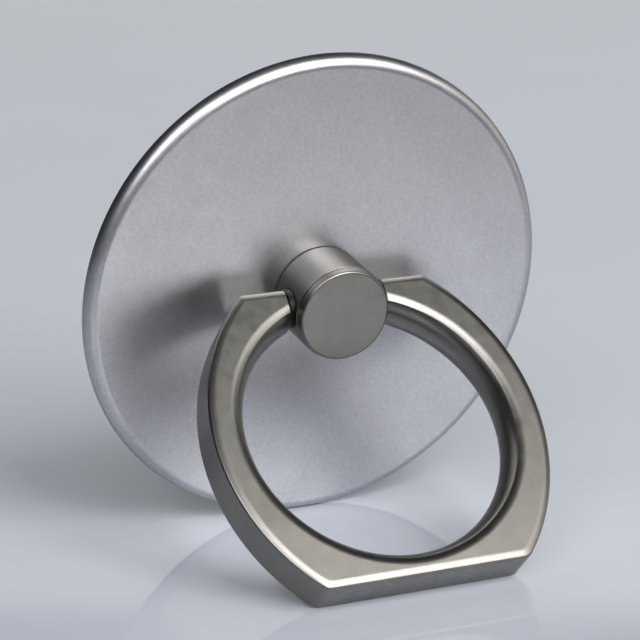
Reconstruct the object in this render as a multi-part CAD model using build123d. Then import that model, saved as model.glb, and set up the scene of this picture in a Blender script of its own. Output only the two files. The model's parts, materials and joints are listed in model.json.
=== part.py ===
from build123d import *
import os
from math import acos, asin, atan2, cos, hypot, radians, sin, sqrt

# Phone ring holder, standing on the plate's rim and the ring's foot, in millimetres and degrees.
# X runs along the ring's hinge, the ring stands in front of the plate at -Y, and Z is up.

# Base plate and adhesive pad
plate_diameter = 37.0
plate_thickness = 1.14
plate_edge_reach = 0.95  # the front edge falls away over this much of the face
plate_edge_depth = 0.94  # and over this much of the rim
plate_back_chamfer = 0.1
plate_lean = 8.5  # the plate's top leans out over the ring
pad_thickness = 0.8
pad_margin = 1.2  # bare rim of the plate's back round the pad
pad_edge_round = 0.15

# Swivel rivet and the washers on it
rivet_shank_diameter = 2.4
rivet_head_diameter = 4.0
rivet_head_thickness = 0.5
rivet_head_round = 0.15
rivet_sink_diameter = 3.8  # flush tail in the plate's back
rivet_sink_depth = 0.6
thrust_washer_thickness = 0.12
thrust_washer_inset = 0.3  # its edge lies this far inside the post's side
disc_spring_thickness = 0.15
disc_spring_rise = 0.15
swivel_clearance = 0.03

# Swivel post and its cap
post_diameter = 7.28
post_wall = 1.0
post_floor = 0.55
post_edge_round = 0.08
post_above_hinge = 2.5  # from the hinge axis to the cap's face
cap_height = 0.5
cap_taper = 0.15  # how far the cap narrows to its face
cap_edge_round = 0.2
groove_height = 0.2
groove_depth = 0.22
spigot_depth = 0.5
spigot_clearance = 0.02
spot_face_depth = 0.3
spot_face_margin = 0.06  # round the friction washer

# Hinge
pin_diameter = 1.2
pin_seat_depth = 2.0  # how far a pin goes into the ring
pin_seat_clearance = 0.01
pin_clearance = 0.03
pin_end_chamfer = 0.12
pin_nub_diameter = 0.7
pin_nub_length = 0.4
friction_washer_diameter = 2.9
friction_washer_clearance = 0.05
spring_length = 3.0
spring_wire = 0.2
spring_diameter = 1.1  # over the middle of the wire
spring_turns = 5
hinge_offset = 0.42  # the hinge axis lies this far in front of the ring's middle plane
fold_clearance = 0.13  # between the plate and the folded ring

# Finger ring
finger_hole_diameter = 20.0  # at its narrowest, half way through
hole_swell = 0.7  # how far the hole's wall bulges inwards
ring_thickness = 3.48
arm_width = 2.9
foot_width = 2.1
side_radius = 16.4
side_drop = 0.4  # the sides are widest this far below the hole's centre
shoulder_rise = 0.94
tab_depth = 1.67  # from the hinge axis down to the hole, at the ends of the ring
tab_gap = 0.28  # between the ends of the ring and the post's side
soft_edge_round = 1.4
soft_edge_width = 0.65
soft_edge_limit = 0.48  # of the foot's face, at its narrowest
foot_corner_round = 1.0
shoulder_corner_round = 0.2

# Worked-out sizes
plate_radius = plate_diameter / 2
post_radius = post_diameter / 2
cavity_radius = post_radius - post_wall
shank_radius = rivet_shank_diameter / 2
pin_radius = pin_diameter / 2
half_thickness = ring_thickness / 2
hinge_height = half_thickness + hinge_offset + fold_clearance
post_bottom = plate_thickness + thrust_washer_thickness
floor_top = post_bottom + post_floor
head_bottom = floor_top + disc_spring_thickness + disc_spring_rise
hinge_level = plate_thickness + hinge_height
cap_face = hinge_level + post_above_hinge
cap_bottom = cap_face - cap_height
post_top = cap_bottom - groove_height
tab_end = post_radius + tab_gap
spot_face = post_radius - spot_face_depth
washer_thickness = tab_end - spot_face - friction_washer_clearance

hole_radius = finger_hole_diameter / 2
hole_edge_radius = hole_radius + hole_swell
hole_drop = tab_depth + sqrt(hole_radius**2 - tab_end**2)
foot_drop = hole_drop + hole_radius + foot_width
half_width = hole_radius + arm_width
soft_width = min(soft_edge_width, soft_edge_limit * (foot_width - hole_swell))
soft_edge_growth = soft_edge_round - soft_width
soft_edge_angle = asin(soft_width / soft_edge_round)
soft_edge_fall = soft_edge_round * (1 - cos(soft_edge_angle))
edge_level = half_thickness - soft_edge_fall

# Stance: the plate's rim and the rear edge of the ring's foot both touch the table
lean = radians(plate_lean)
flat_radius = plate_radius - plate_edge_reach
flat_rim = plate_thickness - plate_edge_depth
rim_reach = hypot(plate_edge_reach * cos(lean), plate_edge_depth * sin(lean))
centre_height = flat_radius * cos(lean) + flat_rim * sin(lean) + rim_reach
plate_normal = Vector(0, -cos(lean), -sin(lean))
plate_plane = Plane(origin=(0, 0, centre_height), x_dir=(1, 0, 0), z_dir=plate_normal)
hinge_point = plate_plane.origin + plate_normal * hinge_level
foot_back = hinge_offset + edge_level
ring_lean = atan2(foot_back, foot_drop) + acos(hinge_point.Z / hypot(foot_back, foot_drop))
ring_plane = Plane(origin=hinge_point, x_dir=(1, 0, 0), z_dir=(0, -cos(ring_lean), sin(ring_lean)))


def turned(*outline):
    """A solid turned about the plate's axis from its half section, given as (radius, level) points."""
    section = Plane.XZ * make_face(Polyline(*outline, close=True))
    return revolve(section, Axis.Z)


def washer(outer_radius, inner_radius, bottom, thickness):
    """A flat washer on the plate's axis."""
    ring = Circle(outer_radius) - Circle(inner_radius)
    return Pos(0, 0, bottom) * extrude(ring, thickness)


def cross_rod(radius, start, end):
    """A round rod along the hinge axis, from start to end."""
    return Plane(origin=(start, 0, 0), z_dir=(1, 0, 0)) * extrude(Circle(radius), end - start)


def base_plate():
    """A thin turned disc with an elliptical front edge and a sunk hole for the rivet's tail."""
    edge = EllipticalCenterArc((flat_radius, flat_rim), plate_edge_reach, plate_edge_depth, arc_size=90)
    sides = Polyline(
        edge @ 1,
        (0, plate_thickness),
        (0, 0),
        (plate_radius - plate_back_chamfer, 0),
        (plate_radius, plate_back_chamfer),
        edge @ 0,
    )
    disc = revolve(Plane.XZ * make_face(edge + sides), Axis.Z)
    return disc - turned(*rivet_tail())


def rivet_tail():
    """Half section of the rivet's shank and flush tail, from the plate's back to its front."""
    return [
        (0, 0),
        (rivet_sink_diameter / 2, 0),
        (shank_radius, rivet_sink_depth),
        (shank_radius, plate_thickness),
        (0, plate_thickness),
    ]


def adhesive_pad():
    """A round foam pad on the plate's back."""
    pad = Pos(0, 0, -pad_thickness) * extrude(Circle(plate_radius - pad_margin), pad_thickness)
    return fillet(pad.edges().group_by(Axis.Z)[0], pad_edge_round)


def swivel_rivet():
    """Flush tail in the plate, shank through the post's floor and a head inside the post."""
    head_radius = rivet_head_diameter / 2
    head_top = head_bottom + rivet_head_thickness
    outline = rivet_tail()[:3] + [
        (shank_radius, head_bottom),
        (head_radius, head_bottom),
        (head_radius, head_top),
        (0, head_top),
    ]
    rivet = turned(*outline)
    return fillet(rivet.edges().group_by(Axis.Z)[-1], rivet_head_round)


def disc_spring():
    """A coned spring washer: its outer edge on the post's floor, its inner edge under the head."""
    outer_radius = rivet_head_diameter / 2
    inner_radius = shank_radius + swivel_clearance
    return turned(
        (outer_radius, floor_top),
        (outer_radius, floor_top + disc_spring_thickness),
        (inner_radius, head_bottom),
        (inner_radius, head_bottom - disc_spring_thickness),
    )


def swivel_post():
    """A turned cup with a hole for the rivet, a cross bore and a spot face on each side."""
    cup = Pos(0, 0, post_bottom) * extrude(Circle(post_radius), post_top - post_bottom)
    cup = fillet(cup.edges().group_by(Axis.Z)[-1], post_edge_round)
    cup -= Pos(0, 0, floor_top) * extrude(Circle(cavity_radius), post_top - floor_top)
    cup -= Pos(0, 0, post_bottom) * extrude(Circle(shank_radius + swivel_clearance), post_floor)
    spot_radius = friction_washer_diameter / 2 + spot_face_margin
    cuts = [cross_rod(pin_radius + pin_clearance, -post_radius, post_radius)]
    cuts += [cross_rod(spot_radius, side * spot_face, side * post_diameter) for side in (-1, 1)]
    for cut in cuts:
        cup -= Pos(0, 0, hinge_level) * cut
    return cup


def post_cap():
    """A turned cap: spigot in the post, a groove, then a band that narrows to a flat face."""
    spigot_radius = cavity_radius - spigot_clearance
    groove_radius = post_radius - groove_depth
    cap = turned(
        (0, post_top - spigot_depth),
        (spigot_radius, post_top - spigot_depth),
        (spigot_radius, post_top),
        (groove_radius, post_top),
        (groove_radius, cap_bottom),
        (post_radius, cap_bottom),
        (post_radius - cap_taper, cap_face),
        (0, cap_face),
    )
    return fillet(cap.edges().group_by(Axis.Z)[-1], cap_edge_round)


def ring_outline(growth):
    """Ring outline: two side arcs, cut off by the shoulders above and the foot, with round corners, below."""
    arc_offset = side_radius - half_width
    arc_level = -hole_drop - side_drop
    side_disc = Circle(side_radius + growth)
    lens = Pos(arc_offset, arc_level) * side_disc & Pos(-arc_offset, arc_level) * side_disc
    top = shoulder_rise + growth
    bottom = -foot_drop - growth
    band = Rectangle(2 * side_radius, top - bottom)
    outline = lens & Pos(0, (top + bottom) / 2) * band
    return fillet(outline.vertices().group_by(Axis.Y)[0], foot_corner_round + growth)


def hole_cutter():
    """The finger hole, turned about its own axis: a wall that bulges inwards half way through."""
    flare = half_thickness
    profile = Line((0, -edge_level - flare), (hole_edge_radius + flare, -edge_level - flare))
    profile += Line(profile @ 1, (hole_edge_radius, -edge_level))
    profile += ThreePointArc(profile @ 1, (hole_radius, 0), (hole_edge_radius, edge_level))
    profile += Line(profile @ 1, (hole_edge_radius + flare, edge_level + flare))
    profile += Line(profile @ 1, (0, edge_level + flare))
    profile += Line(profile @ 1, (0, -edge_level - flare))
    return revolve(Plane.XZ * make_face(profile), Axis.Z)


def finger_ring():
    """A flat ring with softly rounded faces that end in crisp edges, open between its two ends."""
    opening = Rectangle(2 * tab_end, 2 * hole_drop)
    grown = ring_outline(soft_edge_growth) - opening
    grown -= Pos(0, -hole_drop) * Circle(hole_edge_radius - soft_edge_growth)
    slab = Pos(0, 0, half_thickness) * extrude(grown, -2 * ring_thickness)
    front_rim = slab.faces().sort_by(Axis.Z)[-1].edges().filter_by(Axis.Y, reverse=True)
    slab = fillet(front_rim, soft_edge_round)
    body = slab & mirror(slab, Plane.XY)
    outline = ring_outline(0)
    outline = fillet(outline.vertices().group_by(Axis.Y)[-1], shoulder_corner_round)
    body &= extrude(outline, ring_thickness, both=True)
    body -= Pos(0, -hole_drop) * hole_cutter()
    body = Pos(0, 0, -hinge_offset) * body
    for side in (-1, 1):
        body -= cross_rod(pin_radius + pin_seat_clearance, side * tab_end, side * (tab_end + pin_seat_depth))
    return body


def hinge_pin(side):
    """A stub pin from inside the post to the bottom of its hole in the ring, with a spring nub."""
    inner_end = spring_length / 2
    outer_end = tab_end + pin_seat_depth
    pin = cross_rod(pin_radius, inner_end, outer_end)
    pin = chamfer(pin.edges().group_by(Axis.X)[-1], pin_end_chamfer)
    pin += cross_rod(pin_nub_diameter / 2, inner_end - pin_nub_length, inner_end)
    return Rot(0, 0, 90 - 90 * side) * pin


def friction_washer(side):
    """A washer on a hinge pin, against the end of the ring."""
    rod = cross_rod(friction_washer_diameter / 2, tab_end - washer_thickness, tab_end)
    rod -= cross_rod(pin_radius + pin_seat_clearance, tab_end - washer_thickness, tab_end)
    return Rot(0, 0, 90 - 90 * side) * rod


def hinge_spring():
    """A coil spring of square wire between the two pins, its ends ground flat."""
    pitch = spring_length / spring_turns
    path = Pos(0, 0, -spring_length / 2) * Helix(pitch, spring_length, spring_diameter / 2)
    section = Plane(path @ 0, x_dir=(1, 0, 0), z_dir=path % 0) * Rectangle(spring_wire, spring_wire)
    wire = sweep(section, path, is_frenet=True)
    wire &= Box(2 * spring_diameter, 2 * spring_diameter, spring_length)
    return Rot(0, 90, 0) * wire


washer_bore = shank_radius + swivel_clearance
plate_pieces = {
    "base_plate": base_plate(),
    "adhesive_pad": adhesive_pad(),
    "swivel_rivet": swivel_rivet(),
    "thrust_washer": washer(
        post_radius - thrust_washer_inset, washer_bore, plate_thickness, thrust_washer_thickness
    ),
    "disc_spring": disc_spring(),
    "swivel_post": swivel_post(),
    "post_cap": post_cap(),
}
ring_pieces = {
    "finger_ring": finger_ring(),
    "hinge_pin_left": hinge_pin(-1),
    "hinge_pin_right": hinge_pin(1),
    "friction_washer_left": friction_washer(-1),
    "friction_washer_right": friction_washer(1),
    "hinge_spring": hinge_spring(),
}
pieces = {name: plate_plane * piece for name, piece in plate_pieces.items()}
pieces.update({name: ring_plane * piece for name, piece in ring_pieces.items()})

# The origin is on the table, under the middle of the whole holder
boxes = [piece.bounding_box() for piece in pieces.values()]
front = min(box.min.Y for box in boxes)
back = max(box.max.Y for box in boxes)
table = min(box.min.Z for box in boxes)
to_origin = Pos(0, -(front + back) / 2, -table)
os.makedirs("parts", exist_ok=True)
for name, piece in pieces.items():
    export_step(to_origin * piece, f"parts/{name}.step")
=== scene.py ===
import json
from math import asin, atan2, cos, pi, radians, sin, sqrt

import bpy
import numpy as np
from mathutils import Matrix, Vector


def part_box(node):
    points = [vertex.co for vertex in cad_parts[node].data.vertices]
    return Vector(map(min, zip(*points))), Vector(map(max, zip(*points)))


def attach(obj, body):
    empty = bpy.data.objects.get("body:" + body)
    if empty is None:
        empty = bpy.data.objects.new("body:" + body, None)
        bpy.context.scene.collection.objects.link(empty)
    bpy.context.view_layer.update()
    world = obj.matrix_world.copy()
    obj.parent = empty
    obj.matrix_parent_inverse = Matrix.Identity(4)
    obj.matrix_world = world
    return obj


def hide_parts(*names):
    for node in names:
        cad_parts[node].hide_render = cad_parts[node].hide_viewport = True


# Phone ring holder: a satin plate, a swivel post with its cap, and a hinged finger ring, in metres
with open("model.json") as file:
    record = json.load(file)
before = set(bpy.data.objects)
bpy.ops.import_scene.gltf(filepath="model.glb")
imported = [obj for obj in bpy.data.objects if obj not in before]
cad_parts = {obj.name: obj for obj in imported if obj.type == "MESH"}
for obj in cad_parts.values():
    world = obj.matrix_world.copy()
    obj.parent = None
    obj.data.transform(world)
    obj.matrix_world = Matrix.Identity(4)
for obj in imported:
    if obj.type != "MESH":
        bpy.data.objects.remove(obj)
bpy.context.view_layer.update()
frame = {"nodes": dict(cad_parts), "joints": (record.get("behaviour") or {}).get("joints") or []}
mm = 0.001

# Places, from the frame
joints = {joint["name"]: joint for joint in frame["joints"]}
hinge = np.array(joints["ring_hinge"]["pos_m"])
hinge_axis = np.array(joints["ring_hinge"]["axis"])
plate_axis = np.array(joints["post_swivel"]["axis"])
plate_lean = atan2(-plate_axis[2], -plate_axis[1])
ring_lean = radians(joints["ring_hinge"]["range_deg"][1]) - plate_lean
plate_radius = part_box("base_plate")[1].x
pad_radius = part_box("adhesive_pad")[1].x
post_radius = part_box("post_cap")[1].x
ring_half_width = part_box("finger_ring")[1].x
washer_low, washer_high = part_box("friction_washer_right")
washer_inner_end = washer_low.x
tab_end = washer_high.x
washer_radius = washer_high.z - hinge[2]

# Sizes of the plate and pad
plate_thickness = 1.14 * mm
plate_edge_reach = 0.95 * mm
plate_edge_depth = 0.94 * mm
plate_back_chamfer = 0.1 * mm
pad_thickness = 0.8 * mm
pad_edge_round = 0.15 * mm
rivet_sink_radius = 1.9 * mm
rivet_sink_depth = 0.6 * mm
rivet_shank_radius = 1.2 * mm
hinge_level = 3.43 * mm  # from the plate's back to the hinge

# Sizes of the post, cap and washers
post_bottom = 1.26 * mm
post_floor = 0.55 * mm
post_wall = 1.0 * mm
post_edge_round = 0.08 * mm
post_bore_clearance = 0.03 * mm
post_above_hinge = 2.5 * mm  # from the hinge to the cap's face
cap_height = 0.5 * mm
cap_taper = 0.15 * mm
cap_edge_round = 0.2 * mm
groove_height = 0.2 * mm
groove_depth = 0.22 * mm
spigot_depth = 0.5 * mm
spigot_clearance = 0.02 * mm
spot_face_depth = 0.3 * mm
spot_face_margin = 0.06 * mm
pin_radius = 0.6 * mm
pin_clearance = 0.03 * mm
washer_edge_round = 0.06 * mm

# Sizes of the finger ring
hole_radius = 10.0 * mm
hole_swell = 0.7 * mm
half_thickness = 1.74 * mm
hinge_offset = 0.42 * mm  # from the ring's middle plane to the hinge
side_radius = 16.4 * mm
side_drop = 0.4 * mm
shoulder_rise = 0.94 * mm
tab_depth = 1.67 * mm
foot_width = 2.1 * mm
soft_edge_round = 1.4 * mm
soft_edge_width = 0.65 * mm
edge_round = 0.2 * mm
end_round = 0.12 * mm
shoulder_softness = 0.04 * mm
foot_softness = 0.12 * mm

# Camera, as the photograph was taken, with its angles in degrees
camera_azimuth = -24.45
camera_elevation = 15.7
camera_distance = 210 * mm
camera_aim = Vector((-0.43, 6.19, 16.29)) * mm
camera_lens = 157.5  # in millimetres, for Blender's own 36 mm sensor
camera_near = 1 * mm

# Table and lights
table_half_width = 3000 * mm
# Painted shade: the table's colour darkens towards its front, between the next two places
table_unshaded_from = -20 * mm
table_full_shade_from = -58 * mm
table_shade = 0.2  # share of the table's colour that is left where its painted shade is full
light_distance = 700 * mm
light_aim = Vector((0, 0, 0))

# Mesh fineness
turn_steps = 192
arc_steps = 12
shoulder_steps = 40  # from each end of the ring to its shoulder's corner
side_steps = 90  # from there to the foot's corner
foot_steps = 80  # along the foot
support_gap = 0.01 * mm  # from an arc's end to a point that keeps the flat beside it flat
sharp_angle = radians(12)


# Meshes
def unit(vector):
    """The vector divided by its length."""
    return vector / np.linalg.norm(vector)


def place(points, origin, z_dir, x_dir):
    """Local points to the frame: x goes along x_dir, z along z_dir, and y is square to both."""
    axes = np.stack([x_dir, np.cross(z_dir, x_dir), z_dir])
    return points @ axes + origin


def signed_volume(points, quads):
    """Volume inside a closed skin of quads, from the triple products of each quad's two triangles."""
    a, b, c, d = (points[quads[:, i]] for i in range(4))
    triangles = np.einsum("ij,ij->i", a, np.cross(b, c)) + np.einsum("ij,ij->i", a, np.cross(c, d))
    return triangles.sum() / 6


def add(name, data):
    """A new object in the scene that holds the data."""
    item = bpy.data.objects.new(name, data)
    bpy.context.scene.collection.objects.link(item)
    return item


def smooth(mesh):
    """Shades a mesh smooth, but for edges where its faces turn by more than sharp_angle."""
    mesh.shade_smooth()
    mesh.set_sharp_from_angle(angle=sharp_angle)


def skin(name, grid, ends=False):
    """A closed mesh from a grid of points (rows, columns): rows wrap round, and columns wrap round too,
    or end in a flat face each. Every cell of four neighbours is one face, turned to point outwards."""
    rows, columns = grid.shape[:2]
    index = np.arange(rows * columns).reshape(rows, columns)
    wrapped = np.vstack([index, index[:1]])
    if not ends:
        wrapped = np.hstack([wrapped, wrapped[:, :1]])
    quads = np.stack([wrapped[:-1, :-1], wrapped[1:, :-1], wrapped[1:, 1:], wrapped[:-1, 1:]], axis=-1)
    quads = quads.reshape(-1, 4)
    points = grid.reshape(-1, 3)
    caps = [index[::-1, 0], index[:, -1]] if ends else []
    centred = points - points.mean(axis=0)
    if signed_volume(centred, quads) < 0:
        quads = quads[:, ::-1]
        caps = [cap[::-1] for cap in caps]
    mesh = bpy.data.meshes.new(name)
    mesh.from_pydata(points.tolist(), [], quads.tolist() + [cap.tolist() for cap in caps])
    smooth(mesh)
    return add(name, mesh)


def rounded(corners):
    """A closed outline from (radius, level, rounding) corners: each rounding is an arc tangent to its two
    sides, with a support point just off each end so that the flat stretches beside it shade flat."""
    spots = np.array([corner[:2] for corner in corners])
    outline = []
    for i, (spot, rounding) in enumerate(zip(spots, [corner[2] for corner in corners])):
        if not rounding:
            outline.append(spot[None])
            continue
        back = unit(spots[i - 1] - spot)
        ahead = unit(spots[(i + 1) % len(spots)] - spot)
        middle = unit(back + ahead)
        across = unit(ahead - back)
        half = np.arccos(back @ ahead) / 2
        centre = spot + middle * rounding / sin(half)
        sweep = np.linspace(-(pi / 2 - half), pi / 2 - half, arc_steps + 1)[:, None]
        arc = centre + rounding * (np.sin(sweep) * across - np.cos(sweep) * middle)
        outline.append(np.vstack([arc[:1] + back * support_gap, arc, arc[-1:] + ahead * support_gap]))
    return np.vstack(outline)


def turned(name, profile, origin, z_dir, x_dir):
    """A turned piece: x = radius times cos, y = radius times sin, z = level, for each angle and profile
    point. A profile that starts and ends on the axis has a flat face there in place of those points."""
    flat_ends = profile[0, 0] == 0
    if flat_ends:
        profile = profile[1:-1]
    angle = np.linspace(0, 2 * pi, turn_steps, endpoint=False)[:, None]
    radius, level = profile.T
    grid = np.stack(np.broadcast_arrays(radius * np.cos(angle), radius * np.sin(angle), level), axis=-1)
    return skin(name, place(grid, origin, z_dir, x_dir), flat_ends)


def on_plate(name, profile):
    """A piece turned about the plate's axis, with levels measured from the plate's back."""
    return turned(name, profile, hinge - plate_axis * hinge_level, plate_axis, hinge_axis)


def along_hinge(name, corners):
    """A piece turned about the hinge, with levels measured along it from the post's middle."""
    straight_up = np.array((0.0, 0.0, 1.0))
    return turned(name, rounded(corners), hinge, hinge_axis, straight_up)


def cross_rod(name, radius, start, end):
    """A plain rod along the hinge from one level to another."""
    return along_hinge(name, [(0, start, 0), (radius, start, 0), (radius, end, 0), (0, end, 0)])


def cut(piece, cutters):
    """Takes the cutters away from the piece, and drops them."""
    for cutter in cutters:
        boolean = piece.modifiers.new("cut", "BOOLEAN")
        boolean.object = cutter
        boolean.solver = "EXACT"
    evaluated = piece.evaluated_get(bpy.context.evaluated_depsgraph_get())
    mesh = bpy.data.meshes.new_from_object(evaluated)
    piece.modifiers.clear()
    piece.data = mesh
    smooth(mesh)
    for cutter in cutters:
        bpy.data.objects.remove(cutter)


# Plate, pad, post, cap and washers
cap_face_level = hinge_level + post_above_hinge
cap_bottom = cap_face_level - cap_height
post_top = cap_bottom - groove_height


def plate():
    """A disc with a sunk hole for the rivet's tail and an elliptical front edge: over a quarter turn,
    radius = flat radius + reach times cos, level = thickness - depth times (1 - sin)."""
    flat_radius = plate_radius - plate_edge_reach
    turn = np.linspace(0, pi / 2, 2 * arc_steps + 1)
    edge_radius = flat_radius + plate_edge_reach * np.cos(turn)
    edge_level = plate_thickness - plate_edge_depth * (1 - np.sin(turn))
    return on_plate("plate", np.vstack([
        [(rivet_sink_radius, 0), (plate_radius - plate_back_chamfer, 0)],
        [(plate_radius, plate_back_chamfer)],
        np.stack([edge_radius, edge_level], axis=-1),
        [(flat_radius - support_gap, plate_thickness), (rivet_shank_radius, plate_thickness)],
        [(rivet_shank_radius, rivet_sink_depth)],
    ]))


def pad():
    """A round foam pad on the plate's back, with a soft outer edge."""
    return on_plate("pad", rounded([
        (0, -pad_thickness, 0),
        (pad_radius, -pad_thickness, pad_edge_round),
        (pad_radius, 0, 0),
        (0, 0, 0),
    ]))


def post():
    """A turned cup with a cross bore for the pins and a spot face on each side for the friction washers."""
    cavity_radius = post_radius - post_wall
    bore_radius = rivet_shank_radius + post_bore_clearance
    floor_top = post_bottom + post_floor
    cup = on_plate("post", rounded([
        (bore_radius, post_bottom, 0),
        (post_radius, post_bottom, 0),
        (post_radius, post_top, post_edge_round),
        (cavity_radius, post_top, 0),
        (cavity_radius, floor_top, 0),
        (bore_radius, floor_top, 0),
    ]))
    spot_radius = washer_radius + spot_face_margin
    spot_face = post_radius - spot_face_depth
    outside = 2 * post_radius
    cut(cup, [
        cross_rod("spot_left", spot_radius, -spot_face, -outside),
        cross_rod("spot_right", spot_radius, spot_face, outside),
        cross_rod("cross_bore", pin_radius + pin_clearance, -outside, outside),
    ])
    return cup


def cap():
    """A turned cap: spigot in the post, a groove, then a band that narrows to a flat face."""
    spigot_radius = post_radius - post_wall - spigot_clearance
    groove_radius = post_radius - groove_depth
    return on_plate("cap", rounded([
        (0, post_top - spigot_depth, 0),
        (spigot_radius, post_top - spigot_depth, 0),
        (spigot_radius, post_top, 0),
        (groove_radius, post_top, 0),
        (groove_radius, cap_bottom, 0),
        (post_radius, cap_bottom, 0),
        (post_radius - cap_taper, cap_face_level, cap_edge_round),
        (0, cap_face_level, 0),
    ]))


def friction_washer(name, side):
    """A black washer between the post and one end of the ring."""
    start, end = side * washer_inner_end, side * tab_end
    return along_hinge(name, [
        (pin_radius, start, 0),
        (washer_radius, start, washer_edge_round),
        (washer_radius, end, washer_edge_round),
        (pin_radius, end, 0),
    ])


# Finger ring
ring_normal = np.array((0.0, -cos(ring_lean), sin(ring_lean)))
hole_drop = tab_depth + sqrt(hole_radius**2 - tab_end**2)
shoulder_reach = hole_drop + shoulder_rise  # from the hole's centre, straight up
foot_reach = hole_radius + foot_width  # and straight down
side_offset = side_radius - ring_half_width
least_cosine = 1e-3  # keeps the lines of the shoulders and the foot from a division by zero


def outline_reach(angle, inset):
    """The distance from the hole's centre to the ring's outline, moved in by inset, at an angle from
    straight up: the least of those to the two side arcs, the shoulder line and the foot line,
    softly blended."""
    across, up = np.sin(angle), np.cos(angle)
    reaches = []
    for side in (-1, 1):
        nearest = -side * side_offset * across - side_drop * up
        reaches.append(nearest + np.sqrt(
            nearest**2 + (side_radius - inset)**2 - side_offset**2 - side_drop**2))
    reaches.append((shoulder_reach - inset) / np.maximum(up, least_cosine))
    reaches.append((foot_reach - inset) / np.maximum(-up, least_cosine))
    reaches = np.stack(reaches)
    least = reaches.min(axis=0)
    softness = np.where(up > 0, shoulder_softness, foot_softness)
    return least - softness * np.log(np.exp((least - reaches) / softness).sum(axis=0))


def corner_across(rise):
    """How far out a side arc is, at a height above or below the arc's own centre."""
    return sqrt(side_radius**2 - rise**2) - side_offset


def ring_shares():
    """Shares of the way round the ring from one end to the other: from each corner of the outline to the
    next they go as (1 - cos) / 2, so they are closer together towards the corners."""
    start = atan2(tab_end, shoulder_reach)
    shoulder = atan2(corner_across(shoulder_reach + side_drop), shoulder_reach)
    foot = pi - atan2(corner_across(foot_reach - side_drop), foot_reach)
    stops = [start, shoulder, foot, 2 * pi - foot, 2 * pi - shoulder, 2 * pi - start]
    counts = [shoulder_steps, side_steps, foot_steps, side_steps, shoulder_steps]
    spans = [a + (b - a) * (1 - np.cos(np.linspace(0, pi, n, endpoint=False))) / 2
             for a, b, n in zip(stops, stops[1:], counts)]
    angles = np.append(np.concatenate(spans), stops[-1])
    return (angles - start) / (2 * pi - 2 * start)


def angles_round(start):
    """Angles from one end of the ring to the other, for rows that each have their own starting angle."""
    start = start[:, None]
    return start + (2 * pi - 2 * start) * ring_shares()


def outer_section():
    """The front half of the ring's outer edge as (inset from the outline, height) rows from the wall to the
    face: a small arc tangent to the wall, then the face's soft arc, with a support row beyond each."""
    slope = asin((soft_edge_width - edge_round) / (soft_edge_round - edge_round))
    turn = np.linspace(slope, 0, arc_steps + 1)
    soft_inset = soft_edge_width - soft_edge_round * np.sin(turn)
    soft_height = half_thickness - soft_edge_round * (1 - np.cos(turn))
    lift = np.linspace(0, pi / 2 - slope, arc_steps, endpoint=False)
    edge_inset = edge_round * (1 - np.cos(lift))
    edge_height = soft_height[0] + edge_round * (np.sin(lift) - cos(slope))
    inset = [0, *edge_inset, *soft_inset, soft_edge_width + support_gap]
    height = [edge_height[0] - support_gap, *edge_height, *soft_height, half_thickness]
    return np.stack([inset, height], axis=-1)


def inner_section():
    """The hole's edge and wall as (radius, height) rows from the front face to the back one: the face's
    soft arc to a crisp edge, then the wall as one arc that swells towards the hole's middle."""
    slope = asin(soft_edge_width / soft_edge_round)
    crisp_level = half_thickness - soft_edge_round * (1 - cos(slope))
    turn = np.linspace(0, slope, arc_steps + 1)
    face_radius = hole_radius + hole_swell + soft_edge_width - soft_edge_round * np.sin(turn)
    face_height = half_thickness - soft_edge_round * (1 - np.cos(turn))
    wall_round = (crisp_level**2 + hole_swell**2) / (2 * hole_swell)
    swing = np.linspace(asin(crisp_level / wall_round), 0, 2 * arc_steps + 1)[1:]
    wall_radius = hole_radius + wall_round * (1 - np.cos(swing))
    radius = [face_radius[0] + support_gap, *face_radius, *wall_radius]
    height = [half_thickness, *face_height, *(wall_round * np.sin(swing))]
    front = np.stack([radius, height], axis=-1)
    return np.vstack([front, front[-2::-1] * (1, -1)])


def drawn_in(section, outwards):
    """A rounded end for the ring: the end section is carried on towards the post along a quarter circle
    while it is drawn in along its own outline's normals."""
    across = np.roll(section[:, 1:], -1, axis=0) - np.roll(section[:, 1:], 1, axis=0)
    normal = np.stack([across[:, 1], -across[:, 0]], axis=-1)
    normal /= np.linalg.norm(normal, axis=1, keepdims=True)
    centred = section[:, 1:] - section[:, 1:].mean(axis=0)
    normal *= np.sign((centred * normal).sum())
    turn = np.linspace(0, pi / 2, arc_steps // 2 + 1)[None, 1:, None]
    flat = section[:, None, 1:] - end_round * (1 - np.cos(turn)) * normal[:, None]
    along = section[:, None, :1] + outwards * end_round * np.sin(turn)
    return np.concatenate([along, flat], axis=-1)


def finger_ring():
    """The ring: each section row carried round the outline or the hole from one end to the other,
    x = reach times sin, y = reach times cos, z = height off the middle plane."""
    end = tab_end + end_round
    inset, outer_height = outer_section().T
    outer_angle = angles_round(np.arctan2(end, shoulder_reach - inset))
    outer_reach = outline_reach(outer_angle, inset[:, None])
    radius, inner_height = inner_section().T
    inner_angle = angles_round(np.arcsin(end / radius))
    inner_reach = np.broadcast_to(radius[:, None], inner_angle.shape)
    angle = np.vstack([outer_angle, inner_angle, outer_angle[::-1]])
    reach = np.vstack([outer_reach, inner_reach, outer_reach[::-1]])
    height = np.concatenate([outer_height, inner_height, -outer_height[::-1]])[:, None]
    grid = np.stack(np.broadcast_arrays(reach * np.sin(angle), reach * np.cos(angle), height), axis=-1)
    grid = np.hstack([drawn_in(grid[:, 0], -1)[:, ::-1], grid, drawn_in(grid[:, -1], 1)])
    on_foot = (grid[:, :, 1] < support_gap - foot_reach).astype(float)
    local = grid - (0, hole_drop, hinge_offset)
    ring = skin("ring", place(local, hinge, ring_normal, hinge_axis), ends=True)
    ring.data.attributes.new("foot_wall", "FLOAT", "POINT").data.foreach_set("value", on_foot.ravel())
    return ring


# Materials
noise_low = 0.3  # most of a noise lies between these two
noise_high = 0.7


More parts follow.
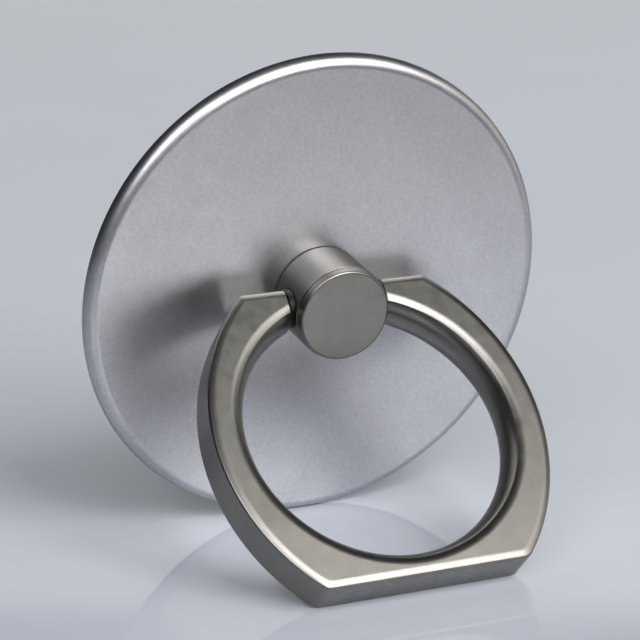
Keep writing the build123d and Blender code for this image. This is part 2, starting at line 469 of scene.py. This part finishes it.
def new_material(name, **values):
    """A Principled material with the given socket values, its node tree and its shader."""
    material = bpy.data.materials.new(name)
    material.use_nodes = True
    shader = material.node_tree.nodes["Principled BSDF"]
    for socket, value in values.items():
        shader.inputs[socket.replace("_", " ")].default_value = value
    return material, material.node_tree, shader


def wire(tree, shader, **sources):
    """Links each source to the shader's socket of that name."""
    for socket, source in sources.items():
        tree.links.new(source, shader.inputs[socket.replace("_", " ")])


def noise(tree, size, detail=2.0, stretch=(1, 1, 1), turn=(0, 0, 0)):
    """Noise on object coordinates with features of a given size, stretched along turned axes."""
    coordinates = tree.nodes.new("ShaderNodeTexCoord")
    mapping = tree.nodes.new("ShaderNodeMapping")
    mapping.vector_type = "TEXTURE"
    mapping.inputs["Rotation"].default_value = turn
    mapping.inputs["Scale"].default_value = stretch
    texture = tree.nodes.new("ShaderNodeTexNoise")
    texture.inputs["Scale"].default_value = 1 / size
    texture.inputs["Detail"].default_value = detail
    tree.links.new(coordinates.outputs["Object"], mapping.inputs["Vector"])
    tree.links.new(mapping.outputs["Vector"], texture.inputs["Vector"])
    return texture.outputs["Fac"]


def mixed(tree, factor, dark, light):
    """A colour that goes from dark to light as a noise goes from its low to its high."""
    node = tree.nodes.new("ShaderNodeValToRGB")
    first, last = node.color_ramp.elements
    first.position = noise_low
    last.position = noise_high
    first.color = (*dark, 1)
    last.color = (*light, 1)
    tree.links.new(factor, node.inputs["Fac"])
    return node.outputs["Color"]


def ranged(tree, factor, low, high, start=noise_low, end=noise_high):
    """A number that goes from low to high as the factor goes from start to end."""
    node = tree.nodes.new("ShaderNodeMapRange")
    node.inputs["From Min"].default_value = start
    node.inputs["From Max"].default_value = end
    node.inputs["To Min"].default_value = low
    node.inputs["To Max"].default_value = high
    tree.links.new(factor, node.inputs["Value"])
    return node.outputs["Result"]


def tinted(tree, colour, share):
    """A colour made lighter or darker: each of its channels times a share."""
    node = tree.nodes.new("ShaderNodeVectorMath")
    node.operation = "SCALE"
    tree.links.new(colour, node.inputs[0])
    tree.links.new(share, node.inputs["Scale"])
    return node.outputs["Vector"]


def bump(tree, height, depth):
    """A bump of a given depth."""
    node = tree.nodes.new("ShaderNodeBump")
    node.inputs["Distance"].default_value = depth
    tree.links.new(height, node.inputs["Height"])
    return node.outputs["Normal"]


def blasted_plate():
    """Bead-blasted satin metal: a fine even grain, with a faint cloudiness in its colour and gloss."""
    material, tree, shader = new_material("plate_satin", Metallic=1.0)
    cloudy = mixed(tree, noise(tree, 4 * mm), dark=(0.52, 0.52, 0.545), light=(0.55, 0.55, 0.575))
    grain = ranged(tree, noise(tree, 0.25 * mm), low=0.93, high=1.07)
    gloss = ranged(tree, noise(tree, 1.5 * mm), low=0.34, high=0.38)
    wire(tree, shader, Base_Color=tinted(tree, cloudy, grain), Roughness=gloss)
    return material


def satin_nickel():
    """Satin nickel plating: warm grey, smoother than the plate, with a very fine grain,
    and slanting polishing marks on the wall of the ring's foot."""
    material, tree, shader = new_material("satin_nickel", Metallic=1.0)
    cloudy = mixed(tree, noise(tree, 2 * mm), dark=(0.20, 0.195, 0.18), light=(0.22, 0.215, 0.20))
    grain = ranged(tree, noise(tree, 0.12 * mm), low=0.95, high=1.05)
    gloss = ranged(tree, noise(tree, 0.8 * mm), low=0.28, high=0.32)
    plain = tinted(tree, cloudy, grain)
    mark_dir = (Vector(hinge_axis) - Vector(ring_normal)).normalized()
    wall_normal = Vector(ring_normal).cross(Vector(hinge_axis))
    turn = Matrix((mark_dir, wall_normal.cross(mark_dir), wall_normal)).transposed().to_euler()
    marks = ranged(tree, noise(tree, 0.14 * mm, stretch=(7, 1, 1), turn=turn), low=0.84, high=1.16)
    on_foot = tree.nodes.new("ShaderNodeAttribute")
    on_foot.attribute_name = "foot_wall"
    blend = tree.nodes.new("ShaderNodeMix")
    blend.data_type = "RGBA"
    tree.links.new(on_foot.outputs["Fac"], blend.inputs["Factor"])
    tree.links.new(plain, blend.inputs["A"])
    tree.links.new(tinted(tree, plain, marks), blend.inputs["B"])
    wire(tree, shader, Base_Color=blend.outputs["Result"], Roughness=gloss)
    return material


def black_nylon():
    """Black washer plastic with a slight sheen and a fine texture."""
    material, tree, shader = new_material("black_washer", Specular_IOR_Level=0.2)
    colour = mixed(tree, noise(tree, 0.3 * mm), dark=(0.004, 0.004, 0.004), light=(0.009, 0.008, 0.008))
    gloss = ranged(tree, noise(tree, 0.2 * mm), low=0.4, high=0.5)
    texture = bump(tree, noise(tree, 0.08 * mm), depth=0.004 * mm)
    wire(tree, shader, Base_Color=colour, Roughness=gloss, Normal=texture)
    return material


def pad_foam():
    """Dark foam with small closed cells under a tacky face."""
    material, tree, shader = new_material("pad_foam")
    patches = noise(tree, 0.6 * mm, detail=4)
    colour = mixed(tree, patches, dark=(0.055, 0.055, 0.06), light=(0.10, 0.10, 0.105))
    gloss = ranged(tree, noise(tree, 0.5 * mm), low=0.55, high=0.75)
    cells = bump(tree, noise(tree, 0.25 * mm, detail=3), depth=0.03 * mm)
    wire(tree, shader, Base_Color=colour, Roughness=gloss, Normal=cells)
    return material


def spring_steel():
    """Plain bright steel with fine drawing marks along the hinge."""
    material, tree, shader = new_material("spring_steel", Metallic=1.0)
    colour = mixed(tree, noise(tree, 0.5 * mm), dark=(0.52, 0.52, 0.53), light=(0.60, 0.60, 0.61))
    gloss = ranged(tree, noise(tree, 0.3 * mm), low=0.25, high=0.38)
    marks = bump(tree, noise(tree, 0.05 * mm, stretch=(10, 1, 1)), depth=0.001 * mm)
    wire(tree, shader, Base_Color=colour, Roughness=gloss, Normal=marks)
    return material


def pale_table():
    """A pale, glossy table top, with painted shade that darkens its colour some way in front of the holder.
    """
    material, tree, shader = new_material("pale_table", Specular_IOR_Level=0.5)
    pale = mixed(tree, noise(tree, 60 * mm), dark=(0.49, 0.53, 0.60), light=(0.52, 0.56, 0.63))
    gloss = ranged(tree, noise(tree, 20 * mm), low=0.06, high=0.08)
    coordinates = tree.nodes.new("ShaderNodeTexCoord")
    axes = tree.nodes.new("ShaderNodeSeparateXYZ")
    tree.links.new(coordinates.outputs["Object"], axes.inputs["Vector"])
    # painted shade: the colour is scaled down towards the table's front
    shade = ranged(tree, axes.outputs["Y"], low=table_shade, high=1.0,
                   start=table_full_shade_from, end=table_unshaded_from)
    wire(tree, shader, Base_Color=tinted(tree, pale, shade), Roughness=gloss)
    return material


# Finishes by material slot
finishes = {
    "plate_satin": blasted_plate(),
    "satin_nickel": satin_nickel(),
    "black_washer": black_nylon(),
    "pad_foam": pad_foam(),
    "spring_steel": spring_steel(),
}

# New pieces, each with its body, the node that it replaces and its finish
dressed = [
    (plate(), "plate", "base_plate", "plate_satin"),
    (pad(), "plate", "adhesive_pad", "pad_foam"),
    (post(), "post", "swivel_post", "satin_nickel"),
    (cap(), "post", "post_cap", "satin_nickel"),
    (finger_ring(), "ring", "finger_ring", "satin_nickel"),
    (friction_washer("washer_left", -1), "ring", "friction_washer_left", "black_washer"),
    (friction_washer("washer_right", 1), "ring", "friction_washer_right", "black_washer"),
]
for piece, body, node, slot in dressed:
    piece.data.materials.append(finishes[slot])
    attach(piece, body)
    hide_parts(node)

# Nodes that keep their CAD shape, with their finish
inner_slots = {
    "swivel_rivet": "spring_steel",
    "disc_spring": "spring_steel",
    "hinge_pin_left": "spring_steel",
    "hinge_pin_right": "spring_steel",
    "hinge_spring": "spring_steel",
    "thrust_washer": "black_washer",
}
for node, slot in inner_slots.items():
    materials = frame["nodes"][node].data.materials
    materials.clear()
    materials.append(finishes[slot])


# Table, lights and camera
def table_top():
    """A wide flat table under the holder: one square face at height zero."""
    half = table_half_width
    corners = [(-half, -half, 0), (half, -half, 0), (half, half, 0), (-half, half, 0)]
    mesh = bpy.data.meshes.new("table")
    mesh.from_pydata(corners, [], [(0, 1, 2, 3)])
    mesh.materials.append(pale_table())
    table = add("table", mesh)


def stand_off(item, azimuth, elevation, distance, aim):
    """Puts a light or the camera at a distance from the point that it faces: azimuth is from the front
    towards +X, elevation is above the table, both in degrees."""
    a, e = radians(azimuth), radians(elevation)
    outwards = Vector((sin(a) * cos(e), -cos(a) * cos(e), sin(e)))
    item.location = aim + outwards * distance
    item.rotation_euler = outwards.to_track_quat("Z", "Y").to_euler()


def soft_box(name, azimuth, elevation, width, height, glow, colour):
    """A rectangular soft light that faces the holder. Its power is pi times its area times its glow."""
    light = bpy.data.lights.new(name, "AREA")
    light.shape = "RECTANGLE"
    light.size = width
    light.size_y = height
    light.energy = pi * width * height * glow
    light.color = colour
    stand_off(add(name, light), azimuth, elevation, light_distance, light_aim)


def room(colour, strength):
    """An even, dim surrounding."""
    world = bpy.data.worlds.new("room")
    world.use_nodes = True
    background = world.node_tree.nodes["Background"]
    background.inputs["Color"].default_value = (*colour, 1)
    background.inputs["Strength"].default_value = strength
    bpy.context.scene.world = world


def camera():
    """The camera at the photograph's viewing angle."""
    data = bpy.data.cameras.new("camera")
    data.lens = camera_lens
    data.clip_start = camera_near
    view = add("camera", data)
    stand_off(view, camera_azimuth, camera_elevation, camera_distance, camera_aim)
    bpy.context.scene.camera = view


table_top()
room(colour=(0.75, 0.85, 1.0), strength=0.02)
soft_box("window", azimuth=16, elevation=38, width=400 * mm, height=480 * mm,
         glow=8.6, colour=(1.0, 0.98, 0.96))
soft_box("window_left", azimuth=-36, elevation=36, width=420 * mm, height=420 * mm,
         glow=4.0, colour=(0.98, 0.98, 1.0))
soft_box("window_right", azimuth=50, elevation=34, width=260 * mm, height=440 * mm,
         glow=2.6, colour=(1.0, 0.97, 0.94))
soft_box("side_wall", azimuth=78, elevation=14, width=600 * mm, height=340 * mm,
         glow=0.7, colour=(1.0, 0.94, 0.88))
soft_box("backdrop", azimuth=155, elevation=11, width=850 * mm, height=270 * mm,
         glow=0.85, colour=(0.94, 0.97, 1.0))
camera()
bpy.context.scene.view_settings.view_transform = "Standard"
